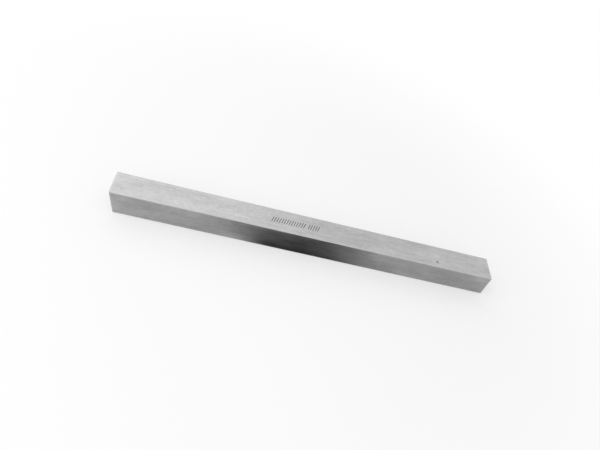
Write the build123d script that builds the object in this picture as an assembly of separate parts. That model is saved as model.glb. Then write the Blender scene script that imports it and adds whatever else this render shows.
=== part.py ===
from build123d import *
import math
import os

# A lathe tool bit as it is sold, before a cutting edge is ground on it: one square bar of hardened high
# speed steel, ground on all four sides, with its sharp edges broken and both ends cut at the same lean.
#
# Millimetres. The bar lies along X on the plane Z = 0, with the origin under the middle of its length.

# Driving dimensions
SECTION_WIDTH = 14.0  # across the bar, along Y
SECTION_HEIGHT = 14.0  # from the side that it lies on up to the side that the clamp screws press on
EDGE_LENGTH = 200.0  # each long edge, from one end face to the other
END_LEAN = 7.0  # degrees between an end face and a square cut, seen from the side
EDGE_BREAK = 0.3  # ground off each long edge, measured along either side
END_BREAK = 0.2  # ground off the rim of each end face

# What follows from them: the step along -X from each end's lower rim to its upper one
END_OFFSET = SECTION_HEIGHT * math.tan(math.radians(END_LEAN))


def side_outline():
    """The bar seen from the side: a long parallelogram, since both ends lean the same way."""
    foot_half = EDGE_LENGTH / 2
    shift = END_OFFSET / 2
    return Polyline(
        (shift - foot_half, 0),
        (shift + foot_half, 0),
        (foot_half - shift, SECTION_HEIGHT),
        (-foot_half - shift, SECTION_HEIGHT),
        close=True,
    )


def tool_bit():
    """The whole bit: the side outline as wide as the section, then the breaks on the sides and ends."""
    with BuildPart() as bar:
        with BuildSketch(Plane.XZ):
            with BuildLine():
                side_outline()
            make_face()
        extrude(amount=SECTION_WIDTH / 2, both=True)

        long_edges = bar.edges().filter_by(Axis.X)
        chamfer(long_edges, EDGE_BREAK)

        end_faces = bar.faces().sort_by(Axis.X)
        rims = end_faces[0].edges() + end_faces[-1].edges()
        chamfer(rims, END_BREAK)
    return bar.part


def main():
    os.makedirs("parts", exist_ok=True)
    export_step(tool_bit(), "parts/tool_bit.step")


main()
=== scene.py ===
import math
import random
from collections import namedtuple

import bpy
from mathutils import Matrix, Vector, noise


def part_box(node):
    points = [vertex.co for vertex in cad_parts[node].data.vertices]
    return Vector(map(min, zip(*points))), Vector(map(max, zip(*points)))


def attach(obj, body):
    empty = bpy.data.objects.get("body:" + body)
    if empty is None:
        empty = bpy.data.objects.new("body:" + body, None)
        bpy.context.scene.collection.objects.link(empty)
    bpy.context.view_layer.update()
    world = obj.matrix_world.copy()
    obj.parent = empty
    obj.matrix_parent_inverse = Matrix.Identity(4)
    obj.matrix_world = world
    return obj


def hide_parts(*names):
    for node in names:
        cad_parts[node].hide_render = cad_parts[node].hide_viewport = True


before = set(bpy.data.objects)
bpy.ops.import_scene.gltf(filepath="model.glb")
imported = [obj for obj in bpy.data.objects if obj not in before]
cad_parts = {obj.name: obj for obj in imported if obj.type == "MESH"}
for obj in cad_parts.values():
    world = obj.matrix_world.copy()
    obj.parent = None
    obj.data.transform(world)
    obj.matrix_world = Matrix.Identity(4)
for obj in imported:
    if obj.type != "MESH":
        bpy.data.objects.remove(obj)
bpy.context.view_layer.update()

# A lathe tool bit, lying on a pale floor: a square bar of high speed steel, ground on every side.
# Lengths are in metres, and MM turns a length that is easier to read in millimetres into one.
# The bar runs along X. Its section is in Y and Z.
MM = 0.001
NODE = "tool_bit"
LOW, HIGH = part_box(NODE)

# The bar's form. The section is the frame's, and the rest are the same sizes as in the CAD model.
HALF_WIDTH = (HIGH.y - LOW.y) / 2
HEIGHT = HIGH.z - LOW.z
END_LEAN = math.radians(7.0)  # between an end face and a square cut, seen from the side
EDGE_BREAK = 0.3 * MM
END_BREAK = 0.2 * MM

# What follows from them
LEAN = math.tan(END_LEAN)  # how far the ends lean towards -X for each unit of height
RIM_REACH = (HEIGHT / 2 - END_BREAK * math.cos(END_LEAN)) * LEAN  # an end face's, past the half length
HALF_LENGTH = HIGH.x - RIM_REACH  # at half the height
TOP_SHIFT = HEIGHT / 2 * LEAN  # how far the upper side lies towards -X of the bar's middle
MITRE = math.tan(math.radians(22.5))  # how far a broken corner's ends spread for each unit of inset

# Spacing of the mesh
STATION_STEP = 1.0 * MM  # along the bar
ROW_STEP = 1.0 * MM  # across it, and up its sides
ROOM_SHARE = 1 / 3  # of a step: an evenly spaced line that is nearer than this to a fine one is left out
LEAST_STEP = 0.03 * MM  # a line that is nearer than this to the one before it is left out
SUPPORT = 0.1 * MM  # from an edge to the first line beside it, short to keep the edge's wear narrow
SHARP_FROM = math.radians(30)  # where the mesh turns by more than this, the edge looks sharp
UPPER_SIDE = HEIGHT - END_BREAK / 2  # points that are higher than this lie on the upper side


# Marks and wear

# Two groups of slanting strokes, pressed into the upper side in the middle of the bar
MARK_START = -23.0 * MM
MARK_MIDDLE = -0.27 * MM  # across the bar
MARK_HALF_HEIGHT = 1.8 * MM
FIRST_GROUP = 14
SECOND_GROUP = 5
GROUP_SPACE = 2.4 * MM
STROKE_PITCH = 1.27 * MM
STROKE_HALF_WIDTH = 0.23 * MM
STROKE_DEPTH = 0.04 * MM
STROKE_TAPER = 0.3 * MM
STROKE_SLANT = math.tan(math.radians(19))
STROKE_DARKNESS = 2.2  # over 1, so that all but the rims of a stroke is as dark as its middle
STROKE_LINES = (-1.5, -1.0, -0.5, 0.0, 0.5, 1.0, 1.5)  # where the mesh crosses it, in half widths

# The upper side's mesh is shifted along the bar, so that its lines run with the strokes. The shift grows
# up to the first of these distances from the marks' middle, and is gone at the second.
SHIFT_WHOLE = MARK_HALF_HEIGHT * 1.3
SHIFT_GONE = HALF_WIDTH * 0.85
SHIFT_FADE = 10 * MM  # along the bar, past the first and the last stroke

# One shallow pit in the upper side, near its front edge. It is longish, with a wider left-hand end.
PIT_CENTRE = Vector((67.4 * MM, -3.9 * MM))
PIT_HALF_LENGTH = 1.5 * MM
PIT_HALF_WIDTH = 1.0 * MM
PIT_NARROWING = 0.45
PIT_TURN = math.radians(-42)
PIT_DEPTH = 0.06 * MM
PIT_DARKNESS = 0.75
PIT_STEP = 0.2 * MM  # of the mesh there

# The long edges, in the order in which the section's outline meets them: lower front, lower back, upper
# back and upper front. Their break is a little uneven.
EDGES = range(4)
UPPER_BACK = EDGES[2]
EDGE_WAVE = 0.05 * MM
EDGE_WAVE_LENGTH = 9.0 * MM
END_FADE = 4.0 * MM  # near the ends the waves fade out
EDGE_HIGHLIGHT_REACH = 1.6  # how far in from an edge its painted highlight of brighter steel ends, in breaks

# Small nicks in the long edges. One shows in the photograph, and the rest are scattered.
Nick = namedtuple("Nick", "edge place reach depth")
SEEN_NICK = Nick(edge=UPPER_BACK, place=-84.4 * MM, reach=0.8 * MM, depth=0.16 * MM)
SCATTERED_NICKS = 14
NICK_SEED = 5
NICK_PLACES = (-92 * MM, 92 * MM)
NICK_REACHES = (0.3 * MM, 1.1 * MM)
NICK_DEPTHS = (0.04 * MM, 0.12 * MM)
NICK_LINES = (-1.0, -0.6, -0.2, 0.2, 0.6, 1.0)  # where the mesh crosses it, in reaches


def make_nicks():
    """The nick that shows, near the left-hand end, and small ones all over the edges."""
    chance = random.Random(NICK_SEED)
    nicks = [SEEN_NICK]
    for number in range(SCATTERED_NICKS):
        place = chance.uniform(*NICK_PLACES)
        reach = chance.uniform(*NICK_REACHES)
        depth = chance.uniform(*NICK_DEPTHS)
        nicks.append(Nick(EDGES[number % len(EDGES)], place, reach, depth))
    return nicks


NICKS = make_nicks()


def stroke_places():
    """Where the strokes stand along the bar, measured at the middle of their height."""
    first = [MARK_START + number * STROKE_PITCH for number in range(FIRST_GROUP)]
    start = first[-1] + GROUP_SPACE
    return first + [start + number * STROKE_PITCH for number in range(SECOND_GROUP)]


STROKES = stroke_places()


def between(value, low, high):
    """The value, or the limit that it is past."""
    return max(low, min(high, value))


def slant_shift(x, y):
    """How far the upper side's mesh is shifted along the bar at a place."""
    off = y - MARK_MIDDLE
    shift = between(off, -SHIFT_WHOLE, SHIFT_WHOLE) * STROKE_SLANT
    if abs(off) > SHIFT_WHOLE:
        shift *= max(0.0, (SHIFT_GONE - abs(off)) / (SHIFT_GONE - SHIFT_WHOLE))
    beyond = max(STROKES[0] - x, x - STROKES[-1]) - STROKE_PITCH
    return shift * between(1 - beyond / SHIFT_FADE, 0.0, 1.0)


def stroke_share(point):
    """How much of a stroke is at a point of the upper side: 1 along its middle line, 0 beside it."""
    off = point.y - MARK_MIDDLE
    at = point.x - off * STROKE_SLANT
    nearest = min(abs(at - stroke) for stroke in STROKES) / STROKE_HALF_WIDTH
    end = (MARK_HALF_HEIGHT - abs(off)) / STROKE_TAPER
    return max(0.0, 1 - nearest**2) * between(end, 0.0, 1.0)


def pit_share(point):
    """How much of the pit is at a point of the upper side."""
    off = Matrix.Rotation(-PIT_TURN, 2) @ (Vector((point.x, point.y)) - PIT_CENTRE)
    lengthwise = off.x / PIT_HALF_LENGTH
    width = PIT_HALF_WIDTH * (1 - PIT_NARROWING * between(lengthwise, -1.0, 1.0))
    return max(0.0, 1 - math.hypot(lengthwise, off.y / width))


def edge_cut(edge, along):
    """How much is off a long edge at a place along the bar, measured along either side."""
    fade = between((HALF_LENGTH - abs(along)) / END_FADE, 0.0, 1.0)
    wave = (1 + noise.noise(Vector((along / EDGE_WAVE_LENGTH, edge, 0)))) / 2
    cut = EDGE_BREAK + EDGE_WAVE * fade * between(wave, 0.0, 1.0)
    for nick in NICKS:
        away = abs(along - nick.place) / nick.reach
        if nick.edge == edge and away < 1:
            cut = max(cut, EDGE_BREAK + nick.depth * (1 - away**2))
    return cut


# The mesh


def spaced(low, high, step):
    """Evenly spaced values from low to high, both included, at most a step apart."""
    count = max(1, math.ceil((high - low) / step))
    return [low + (high - low) * i / count for i in range(count + 1)]


def filled(low, high, step, fine):
    """Values from low to high: the fine ones given, and evenly spaced ones wherever those leave room."""
    values = list(fine)
    for value in spaced(low, high, step):
        if all(abs(value - near) > step * ROOM_SHARE for near in fine):
            values.append(value)
    kept = []
    for value in sorted(values):
        if not kept or value - kept[-1] >= LEAST_STEP:
            kept.append(value)
    return kept


def station_places():
    """Where the mesh is cut across, measured along the bar at half its height."""
    flat_end = HALF_LENGTH - END_BREAK
    fine = []
    for stroke in STROKES:
        fine += [stroke + TOP_SHIFT + STROKE_HALF_WIDTH * share for share in STROKE_LINES]
    pit = PIT_CENTRE.x + TOP_SHIFT
    fine += spaced(pit - PIT_HALF_LENGTH, pit + PIT_HALF_LENGTH, PIT_STEP)
    for nick in NICKS:
        fine += [nick.place + nick.reach * share for share in NICK_LINES]
    return [-flat_end] + filled(-flat_end + SUPPORT, flat_end - SUPPORT, STATION_STEP, fine) + [flat_end]


def row_places():
    """Where the upper and lower sides are divided, from the front edge to the back one."""
    flat_edge = HALF_WIDTH - EDGE_BREAK
    fine = spaced(PIT_CENTRE.y - PIT_HALF_LENGTH, PIT_CENTRE.y + PIT_HALF_LENGTH, PIT_STEP)
    for side in (-1, 1):
        for taper in (-STROKE_TAPER, -STROKE_TAPER / 2, 0, STROKE_TAPER):
            fine.append(MARK_MIDDLE + side * (MARK_HALF_HEIGHT + taper))
    return [-flat_edge] + filled(-flat_edge + SUPPORT, flat_edge - SUPPORT, ROW_STEP, fine) + [flat_edge]


def level_places():
    """Where the front and back sides are divided, from the bottom up."""
    low, high = EDGE_BREAK, HEIGHT - EDGE_BREAK
    return [low] + spaced(low + SUPPORT, high - SUPPORT, ROW_STEP) + [high]


ROWS = row_places()
LEVELS = level_places()


def fitted(places, low, high):
    """The places between two edges, with the ones that lie on the edges and beside them moved to fit."""
    return [low, low + SUPPORT] + places[2:-2] + [high - SUPPORT, high]


def section_loop(cuts, inset):
    """The section's outline, counter-clockwise seen from +X, for the given cuts at its edges.

    An inset draws it in on all sides, as the broken rim of an end is drawn in.
    """
    low_front, low_back, high_back, high_front = [cut + inset * MITRE for cut in cuts]
    across = HALF_WIDTH - inset
    lower = fitted(ROWS, low_front - HALF_WIDTH, HALF_WIDTH - low_back)
    back = fitted(LEVELS, low_back, HEIGHT - high_back)
    upper = fitted(ROWS, high_front - HALF_WIDTH, HALF_WIDTH - high_back)
    front = fitted(LEVELS, low_front, HEIGHT - high_front)
    loop = [(y, inset) for y in lower]
    loop += [(across, z) for z in back]
    loop += [(y, HEIGHT - inset) for y in reversed(upper)]
    loop += [(-across, z) for z in reversed(front)]
    return loop


def leaned(along, y, z):
    """A point of the bar: along is measured at half the height, and the ends' lean shifts the rest."""
    return Vector((along - (z - HEIGHT / 2) * LEAN, y, z))


def side_rings():
    """The rings of the bar's sides, from the left-hand end to the right-hand one."""
    even = [EDGE_BREAK] * len(EDGES)
    rim = section_loop(even, END_BREAK)
    rings = [[leaned(-HALF_LENGTH, y, z) for y, z in rim]]
    for along in station_places():
        cuts = [edge_cut(edge, along) for edge in EDGES]
        rings.append([leaned(along, y, z) for y, z in section_loop(cuts, 0.0)])
    rings.append([leaned(HALF_LENGTH, y, z) for y, z in rim])
    return rings


def side_faces(ring_count, ring_length):
    """The faces between each ring and the next, turned outward."""
    faces = []
    for ring in range(ring_count - 1):
        near, far = ring * ring_length, (ring + 1) * ring_length
        for i in range(ring_length):
            j = (i + 1) % ring_length
            faces.append((near + i, near + j, far + j, far + i))
    return faces


def end_face(points, start, side):
    """The faces that close one end, whose rim's points begin at start. Its own points are added.

    They meet the rim's points one to one, with a triangle at each corner.
    """
    corner = EDGE_BREAK + END_BREAK * MITRE
    rows = fitted(ROWS, corner - HALF_WIDTH, HALF_WIDTH - corner)
    levels = fitted(LEVELS, corner, HEIGHT - corner)
    wide, tall = len(rows), len(levels)
    lower = [start + i for i in range(wide)]
    back = [start + wide + j for j in range(tall)]
    upper = [start + 2 * wide + tall - 1 - i for i in range(wide)]
    front = [start + 2 * wide + 2 * tall - 1 - j for j in range(tall)]
    grid = []
    for z in levels:
        grid.append([len(points) + i for i in range(wide)])
        points.extend(leaned(side * HALF_LENGTH, y, z) for y in rows)
    faces = []
    for low_row, high_row in zip([lower] + grid, grid + [upper]):
        for i in range(wide - 1):
            faces.append((low_row[i], low_row[i + 1], high_row[i + 1], high_row[i]))
    for j in range(tall - 1):
        faces.append((grid[j][-1], back[j], back[j + 1], grid[j + 1][-1]))
        faces.append((front[j], grid[j][0], grid[j + 1][0], front[j + 1]))
    faces.append((lower[-1], back[0], grid[0][-1]))
    faces.append((back[-1], upper[-1], grid[-1][-1]))
    faces.append((upper[0], front[-1], grid[-1][0]))
    faces.append((front[0], lower[0], grid[0][0]))
    return [face if side > 0 else face[::-1] for face in faces]


def press_marks(points):
    """Presses the strokes and the pit into the upper side. Gives how much of a mark is at each point."""
    marks = []
    for point in points:
        share = 0.0
        if point.z > UPPER_SIDE:
            point.x += slant_shift(point.x, point.y)
            stroke = stroke_share(point)
            pit = pit_share(point)
            point.z -= max(STROKE_DEPTH * stroke, PIT_DEPTH * pit)
            share = between(max(STROKE_DARKNESS * stroke, PIT_DARKNESS * pit), 0.0, 1.0)
        marks.append(share)
    return marks


def edge_highlight_share(point):
    """Where the painted edge highlight lies: 1 on the broken edges and rims, falling to 0 a little way in
    on the sides.
    """
    near_y = HALF_WIDTH - abs(point.y)
    near_z = min(point.z, HEIGHT - point.z)
    along = point.x + (point.z - HEIGHT / 2) * LEAN
    near_x = HALF_LENGTH - abs(along)
    second = sorted((near_x, near_y, near_z))[1]
    return between(EDGE_HIGHLIGHT_REACH - second / EDGE_BREAK, 0.0, 1.0)


def add_object(name, data):
    """Puts a mesh, a light or a camera into the scene."""
    thing = bpy.data.objects.new(name, data)
    bpy.context.scene.collection.objects.link(thing)
    return thing


def build_bar():
    """The bar as one closed mesh: four ground sides with broken edges, and two leaning end faces."""
    rings = side_rings()
    ring_length = len(rings[0])
    points = [point for ring in rings for point in ring]
    last_ring = len(points) - ring_length
    sides = side_faces(len(rings), ring_length)
    ends = end_face(points, 0, -1) + end_face(points, last_ring, 1)
    marks = press_marks(points)
    edges = [edge_highlight_share(point) for point in points]

    mesh = bpy.data.meshes.new("ground_bar")
    mesh.from_pydata(points, [], sides + ends)
    # The edge attribute carries where the painted edge highlight lies.
    for name, values in (("mark", marks), ("edge", edges)):
        mesh.attributes.new(name, "FLOAT", "POINT").data.foreach_set("value", values)
    for polygon in mesh.polygons:
        polygon.use_smooth = True
        polygon.material_index = 0 if polygon.index < len(sides) else 1
    mesh.set_sharp_from_angle(angle=SHARP_FROM)
    return add_object("ground_bar", mesh)


# Materials

NOISE_LOW, NOISE_HIGH = 0.3, 0.7  # nearly all noise lies between these


class Nodes:
    """The node tree of a material or world, with short calls for adding nodes and joining them."""

    def __init__(self, owner):
        owner.use_nodes = True
        self.tree = owner.node_tree
        self.tree.nodes.clear()

    def add(self, kind, **settings):
        """A new node with these settings."""
        node = self.tree.nodes.new(kind)
        for name, value in settings.items():
            setattr(node, name, value)
        return node

    def join(self, source, target):
        """Joins an output to an input."""
        self.tree.links.new(source, target)

    def feed(self, socket, value):
        """Sets a socket to a number, or joins an output to it."""
        if isinstance(value, (int, float)):
            socket.default_value = value
        else:
            self.join(value, socket)

    def math(self, operation, first, *others):
        """Values that are added, multiplied and so on, in turn."""
        result = first
        for other in others:
            node = self.add("ShaderNodeMath", operation=operation)
            self.feed(node.inputs[0], result)
            self.feed(node.inputs[1], other)
            result = node.outputs["Value"]
        return result

    def ramp(self, factor, low, high, value_low, value_high):
        """A factor between low and high, turned into a value between the last two."""
        node = self.add("ShaderNodeMapRange")
        self.join(factor, node.inputs["Value"])
        limits = {"From Min": low, "From Max": high, "To Min": value_low, "To Max": value_high}
        for name, value in limits.items():
            self.feed(node.inputs[name], value)
        return node.outputs["Result"]

    def soft_ramp(self, factor, low, high, value_low, value_high):
        """The same, with a soft start and end."""
        result = self.ramp(factor, low, high, value_low, value_high)
        result.node.interpolation_type = "SMOOTHSTEP"
        return result

    def swing(self, noise_value, amount):
        """1 minus the amount where the noise is low, up to 1 plus the amount where it is high."""
        return self.ramp(noise_value, NOISE_LOW, NOISE_HIGH, 1 - amount, 1 + amount)

    def blend(self, share, first, second):
        """The first value where the share is 0, and the second where it is 1."""
        node = self.add("ShaderNodeMix", data_type="FLOAT")
        # Several inputs share each name, so these are taken by number: the factor, and the two numbers.
        self.feed(node.inputs[0], share)
        self.feed(node.inputs[2], first)
        self.feed(node.inputs[3], second)
        return node.outputs[0]

    def mix_shaders(self, share, first, second):
        """The first shader where the share is 0, and the second where it is 1."""
        node = self.add("ShaderNodeMixShader")
        for socket, source in zip(node.inputs, (share, first, second)):
            self.join(source, socket)
        return node.outputs["Shader"]

    def show(self, shader, kind="ShaderNodeOutputMaterial"):
        """Makes a shader the surface of the material, or of the world."""
        self.join(shader, self.add(kind).inputs["Surface"])

    def object_place(self, turn=0.0):
        """Places on the object, in its own axes or in axes turned by an angle about each of them."""
        place = self.add("ShaderNodeTexCoord").outputs["Object"]
        turned = self.add("ShaderNodeMapping")
        turned.inputs["Rotation"].default_value = (turn, turn, turn)
        self.join(place, turned.inputs["Vector"])
        return turned.outputs["Vector"]

    def noise(self, place, lengths, detail, roughness):
        """Noise with features about as long in X, Y and Z as the three lengths."""
        scale = self.add("ShaderNodeVectorMath", operation="DIVIDE")
        self.join(place, scale.inputs[0])
        scale.inputs[1].default_value = lengths
        node = self.add("ShaderNodeTexNoise")
        self.join(scale.outputs["Vector"], node.inputs["Vector"])
        node.inputs["Scale"].default_value = 1.0
        node.inputs["Detail"].default_value = detail
        node.inputs["Roughness"].default_value = roughness
        return node.outputs["Fac"]

    def specks(self, place, spacing, radius):
        """1 in small spots that are about a spacing apart in space, and 0 between them."""
        node = self.add("ShaderNodeTexVoronoi", feature="F1")
        node.inputs["Scale"].default_value = 1 / spacing
        self.join(place, node.inputs["Vector"])
        return self.ramp(node.outputs["Distance"], radius / spacing / 2, radius / spacing, 1.0, 0.0)

    def attribute(self, name):
        """A value that the mesh keeps at its points."""
        return self.add("ShaderNodeAttribute", attribute_name=name).outputs["Fac"]

    def grey(self, value):
        """A grey of a value that changes over the surface."""
        colour = self.add("ShaderNodeCombineColor")
        for channel in ("Red", "Green", "Blue"):
            self.join(value, colour.inputs[channel])
        return colour.outputs["Color"]


# Ground steel has three layers of grain. The length and width are in those of the grinding lines, and the
# turn is away from them. The tone goes up and down by the swing, and the height is in the relief.
Grain = namedtuple("Grain", "turn length width detail roughness swing height")
LINES = Grain(turn=0.0, length=1 / 3, width=1, detail=3.0, roughness=0.6, swing=0.05, height=0.5)
STREAKS = Grain(turn=0.0, length=1, width=8, detail=5.0, roughness=0.65, swing=0.08, height=0.3)
STRAYS = Grain(math.radians(16), length=1 / 5, width=4, detail=4.0, roughness=0.7, swing=0.12, height=0.2)

# Soft clouds
CLOUD_LENGTHS = (20 * MM, 8 * MM, 8 * MM)
CLOUD_DETAIL = 5.0
CLOUD_ROUGHNESS = 0.7
CLOUD_SWING = 0.15
CLOUD_LOW, CLOUD_HIGH = 0.35, 0.65  # where they are smoothest and where they are roughest

# A few small dark specks
SPECK_SPACING = 2.6 * MM
SPECK_RADIUS = 0.16 * MM
SPECK_TONE = 0.6  # of the tone beside them
SPECK_HEIGHT = -0.5  # in the relief

# The steel's tones, roughness and relief
STEEL = 0.48
# Painted highlight: the broken edges get this brighter steel tone.
STEEL_HIGHLIGHT_AT_EDGES = 0.58
STEEL_IN_MARKS = 0.05
ROUGH_LEAST, ROUGH_MOST = 0.30, 0.38
ROUGH_IN_CLOUDS = 0.03  # added where they are high, and taken off where they are low
ROUGH_IN_MARKS = 0.25  # added
ANISOTROPY = 0.6
BUMP_STRENGTH = 0.25
BUMP_HEIGHT = 0.01 * MM

# The grinding lines on the four sides, and on the two ends
AXES = "XYZ"
SIDE_LINE_LENGTH, SIDE_LINE_WIDTH = 40 * MM, 0.16 * MM
END_LINE_LENGTH, END_LINE_WIDTH = 12 * MM, 0.24 * MM


def steel_tone(nodes, grains, clouds, specks):
    """The grey, which the grain, clouds and specks vary. The broken edges get a brighter grey, a painted
    highlight, and marks are dark.
    """
    swings = [nodes.swing(value, grain.swing) for grain, value in grains.items()]
    swings.append(nodes.swing(clouds, CLOUD_SWING))
    swings.append(nodes.ramp(specks, 0.0, 1.0, 1.0, SPECK_TONE))
    tone = nodes.math("MULTIPLY", STEEL, *swings)
    # Painted highlight: brighter steel on the broken edges.
    tone = nodes.blend(nodes.attribute("edge"), tone, STEEL_HIGHLIGHT_AT_EDGES)
    tone = nodes.blend(nodes.attribute("mark"), tone, STEEL_IN_MARKS)
    return nodes.grey(tone)


def steel_roughness(nodes, grains, clouds):
    """The roughness, which the streaks and clouds vary and the marks add to."""
    streaky = nodes.ramp(grains[STREAKS], NOISE_LOW, NOISE_HIGH, ROUGH_LEAST, ROUGH_MOST)
    cloudy = nodes.ramp(clouds, CLOUD_LOW, CLOUD_HIGH, -ROUGH_IN_CLOUDS, ROUGH_IN_CLOUDS)
    marked = nodes.math("MULTIPLY", nodes.attribute("mark"), ROUGH_IN_MARKS)
    return nodes.math("ADD", streaky, cloudy, marked)


def steel_relief(nodes, grains, specks):
    """Fine ridges along the grain, and a small hollow in each speck."""
    heights = [nodes.math("MULTIPLY", value, grain.height) for grain, value in grains.items()]
    heights.append(nodes.math("MULTIPLY", specks, SPECK_HEIGHT))
    bump = nodes.add("ShaderNodeBump")
    bump.inputs["Strength"].default_value = BUMP_STRENGTH
    bump.inputs["Distance"].default_value = BUMP_HEIGHT
    nodes.join(nodes.math("ADD", *heights), bump.inputs["Height"])
    return bump.outputs["Normal"]


def ground_steel(name, lengthwise, line_length, line_width, tangent_axis):
    """Ground steel. Its lines run along one axis, and the tangent of its highlights round the last one."""
    material = bpy.data.materials.new(name)
    nodes = Nodes(material)
    grains = {}
    for grain in (LINES, STREAKS, STRAYS):
        lengths = [grain.width * line_width] * len(AXES)
        lengths[AXES.index(lengthwise)] = grain.length * line_length
        place = nodes.object_place(grain.turn)
        grains[grain] = nodes.noise(place, lengths, grain.detail, grain.roughness)
    place = nodes.object_place()
    clouds = nodes.noise(place, CLOUD_LENGTHS, CLOUD_DETAIL, CLOUD_ROUGHNESS)
    specks = nodes.specks(place, SPECK_SPACING, SPECK_RADIUS)

    shader = nodes.add("ShaderNodeBsdfPrincipled")
    shader.inputs["Metallic"].default_value = 1.0
    shader.inputs["Anisotropic"].default_value = ANISOTROPY
    tangent = nodes.add("ShaderNodeTangent", direction_type="RADIAL", axis=tangent_axis)
    nodes.join(tangent.outputs["Tangent"], shader.inputs["Tangent"])
    nodes.join(steel_tone(nodes, grains, clouds, specks), shader.inputs["Base Color"])
    nodes.join(steel_roughness(nodes, grains, clouds), shader.inputs["Roughness"])
    nodes.join(steel_relief(nodes, grains, specks), shader.inputs["Normal"])
    nodes.show(shader.outputs["BSDF"])
    return material


def make_tool_bit():
    """The bar in ground steel. Its lines run along the sides, and across the ends."""
    bar = build_bar()
    bar.data.materials.append(ground_steel("ground_side", "X", SIDE_LINE_LENGTH, SIDE_LINE_WIDTH, "X"))
    bar.data.materials.append(ground_steel("ground_end", "Y", END_LINE_LENGTH, END_LINE_WIDTH, "Z"))
    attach(bar, "root")
    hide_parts(NODE)


# Floor, light and camera

WHITE = (1, 1, 1, 1)
WORLD_LIGHT = 0.76  # in the light that falls on things
FLOOR_SIZE = 40.0
FLOOR_TONE = 0.68  # in the light that it throws back
FLOOR_TONE_SEEN = 0.97
FLOOR_MIRRORED = 0.2  # how far reflections show the floor as the camera sees it
# The share of the floor that the camera sees as plain white. It grows with the distance from the bar's
# middle, so that the floor meets the white background with no line between them.
GLOW_NEAR, GLOW_FAR = 0.3, 1.0
GLOW_NEAR_REACH, GLOW_FAR_REACH = 80 * MM, 260 * MM


def seen_directly(nodes, mirrored=1.0):
    """1 for what the camera sees, also through glass, the given share in reflections, and else 0."""
    path = nodes.add("ShaderNodeLightPath")
    glossy = nodes.math("MULTIPLY", path.outputs["Is Glossy Ray"], mirrored)
    seen = nodes.math("ADD", path.outputs["Is Camera Ray"], glossy, path.outputs["Is Transmission Ray"])
    return nodes.math("MINIMUM", seen, 1.0)


def level_rectangle(name, left, right, front, back, height):
    """A level rectangle of one face."""
    corners = [(left, front, height), (right, front, height), (right, back, height), (left, back, height)]
    mesh = bpy.data.meshes.new(name)
    mesh.from_pydata(corners, [], [(0, 1, 2, 3)])
    return add_object(name, mesh)


def make_floor():
    """A pale floor that keeps the bar's shadow and fades into the white background."""
    half = FLOOR_SIZE / 2
    floor = level_rectangle("floor", -half, half, -half, half, 0.0)
    material = bpy.data.materials.new("floor_white")
    nodes = Nodes(material)
    seen = seen_directly(nodes, FLOOR_MIRRORED)
    diffuse = nodes.add("ShaderNodeBsdfDiffuse")
    nodes.join(nodes.grey(nodes.blend(seen, FLOOR_TONE, FLOOR_TONE_SEEN)), diffuse.inputs["Color"])
    away = nodes.add("ShaderNodeVectorMath", operation="LENGTH")
    nodes.join(nodes.object_place(), away.inputs[0])
    glowing = nodes.soft_ramp(away.outputs["Value"], GLOW_NEAR_REACH, GLOW_FAR_REACH, GLOW_NEAR, GLOW_FAR)
    share = nodes.math("MULTIPLY", seen, glowing)
    glow = nodes.add("ShaderNodeEmission")
    nodes.show(nodes.mix_shaders(share, diffuse.outputs["BSDF"], glow.outputs["Emission"]))
    floor.data.materials.append(material)


# A soft dark card on the floor in front of the bar: painted shade, which only reflections meet.
CARD_LIFT = 0.1 * MM
CARD_HALF_LENGTH = 150 * MM
CARD_FRONT = -45 * MM
CARD_DARK = 0.97  # in its darkest part
CARD_LEFTOVER = 0.1  # how much of that is left towards the right
NEAR_PLACE, FAR_PLACE = -9.5 * MM, -17.5 * MM  # two places in front of the bar
DARK_FROM_NEAR, DARKEST_FROM_NEAR = -42 * MM, -20 * MM  # between these it darkens at the near place
DARK_FROM_FAR, DARKEST_FROM_FAR = -78 * MM, -6 * MM  # and between these at the far one
DARKEST_TO, DARK_TO = 2 * MM, 56 * MM  # between these it lightens again
TAIL_FROM, TAIL_TO = 70 * MM, 140 * MM  # and between these what is left fades out
DARK_ACROSS = -28 * MM  # from here on it fades out towards its front edge


def shade_card_share(nodes):
    """How dark the painted shade card is at a place on it, from 0 to nearly 1."""
    place = nodes.add("ShaderNodeSeparateXYZ")
    nodes.join(nodes.object_place(), place.inputs["Vector"])
    along, across = place.outputs["X"], place.outputs["Y"]
    dark_from = nodes.ramp(across, FAR_PLACE, NEAR_PLACE, DARK_FROM_FAR, DARK_FROM_NEAR)
    darkest_from = nodes.ramp(across, FAR_PLACE, NEAR_PLACE, DARKEST_FROM_FAR, DARKEST_FROM_NEAR)
    darker = nodes.soft_ramp(along, dark_from, darkest_from, 0.0, CARD_DARK)
    lighter = nodes.soft_ramp(along, DARKEST_TO, DARK_TO, 1.0, CARD_LEFTOVER)
    tail = nodes.soft_ramp(along, TAIL_FROM, TAIL_TO, 1.0, 0.0)
    near = nodes.soft_ramp(across, CARD_FRONT, DARK_ACROSS, 0.0, 1.0)
    return nodes.math("MULTIPLY", darker, lighter, tail, near)


def make_painted_shade_card():
    """Painted shade: darkens the middle of what the front side mirrors, standing in for shade on the
    ground in front of it.
    """
    left, right = -CARD_HALF_LENGTH, CARD_HALF_LENGTH
    card = level_rectangle("painted_shade_card", left, right, CARD_FRONT, -HALF_WIDTH, CARD_LIFT)
    for ray in ("camera", "diffuse", "transmission", "volume_scatter", "shadow"):
        setattr(card, "visible_" + ray, False)
    material = bpy.data.materials.new("shade_card_black")
    nodes = Nodes(material)
    # Painted shade: the black that the card lays over what the front side mirrors.
    black = nodes.add("ShaderNodeEmission")
    black.inputs["Strength"].default_value = 0.0
    clear = nodes.add("ShaderNodeBsdfTransparent")
    nodes.show(nodes.mix_shaders(shade_card_share(nodes), clear.outputs["BSDF"], black.outputs["Emission"]))
    card.data.materials.append(material)


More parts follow.
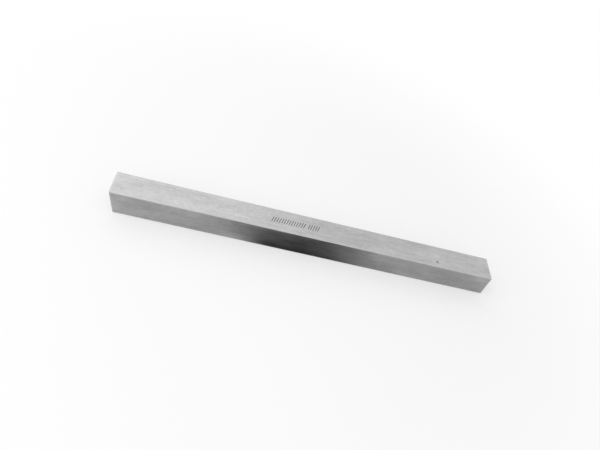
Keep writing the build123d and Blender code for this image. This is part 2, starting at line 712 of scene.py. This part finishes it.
def make_world():
    """Even light from all round, seen as plain white by the camera and in reflections."""
    world = bpy.data.worlds.new("studio")
    nodes = Nodes(world)
    light = nodes.add("ShaderNodeBackground")
    light.inputs["Color"].default_value = WHITE
    light.inputs["Strength"].default_value = WORLD_LIGHT
    white = nodes.add("ShaderNodeBackground")
    white.inputs["Color"].default_value = WHITE
    seen = seen_directly(nodes)
    mixed = nodes.mix_shaders(seen, light.outputs["Background"], white.outputs["Background"])
    nodes.show(mixed, "ShaderNodeOutputWorld")
    bpy.context.scene.world = world


# Square softboxes that face the bar. The heading is from +Y towards +X, and the power is in watts.
Softbox = namedtuple("Softbox", "name heading elevation distance size power")
SOFTBOXES = (
    Softbox("key", math.radians(-115), math.radians(45), distance=0.6, size=0.6, power=1.0),
    Softbox("panel", math.radians(-25), math.radians(45), distance=1.5, size=1.3, power=1.9),
)


def direction(heading, elevation):
    """The direction at a heading, measured from +Y towards +X, and at an elevation above the floor."""
    level = math.cos(elevation)
    return Vector((math.sin(heading) * level, math.cos(heading) * level, math.sin(elevation)))


def make_softbox(softbox):
    """An area light that faces the middle of the bar."""
    light = bpy.data.lights.new(softbox.name, "AREA")
    light.size = softbox.size
    light.energy = softbox.power
    towards = direction(softbox.heading, softbox.elevation)
    lamp = add_object(softbox.name, light)
    lamp.location = towards * softbox.distance
    lamp.rotation_mode = "QUATERNION"
    lamp.rotation_quaternion = (-towards).to_track_quat("-Z", "Y")


CAMERA_PLACE = Vector((-53.1, -161.6, 189.8)) * MM
CAMERA_HEADING = math.radians(15.31)  # from +Y towards +X
CAMERA_DIP = math.radians(46.42)
CAMERA_ROLL = math.radians(24.30)
CAMERA_FOCUS = 28.8  # this and the next are in millimetres, as Blender takes them
SENSOR_WIDTH = 36.0
CLIP_START = 10 * MM


def turn(angle, axis):
    """A turn about an axis, as a 4 by 4 matrix."""
    return Matrix.Rotation(angle, 4, axis)


def make_camera():
    """The camera, at the photograph's angle on the bar."""
    data = bpy.data.cameras.new("camera")
    data.sensor_width = SENSOR_WIDTH
    data.lens = CAMERA_FOCUS
    data.clip_start = CLIP_START
    camera = add_object("camera", data)
    heading = turn(-CAMERA_HEADING, "Z")
    dip = turn(math.pi / 2 - CAMERA_DIP, "X")
    roll = turn(CAMERA_ROLL, "Z")
    camera.matrix_world = Matrix.Translation(CAMERA_PLACE) @ heading @ dip @ roll
    bpy.context.scene.camera = camera


make_tool_bit()
make_floor()
make_world()
for softbox in SOFTBOXES:
    make_softbox(softbox)
# The painted shade card, which only reflections meet.
make_painted_shade_card()
make_camera()

bpy.context.scene.view_settings.view_transform = "Standard"
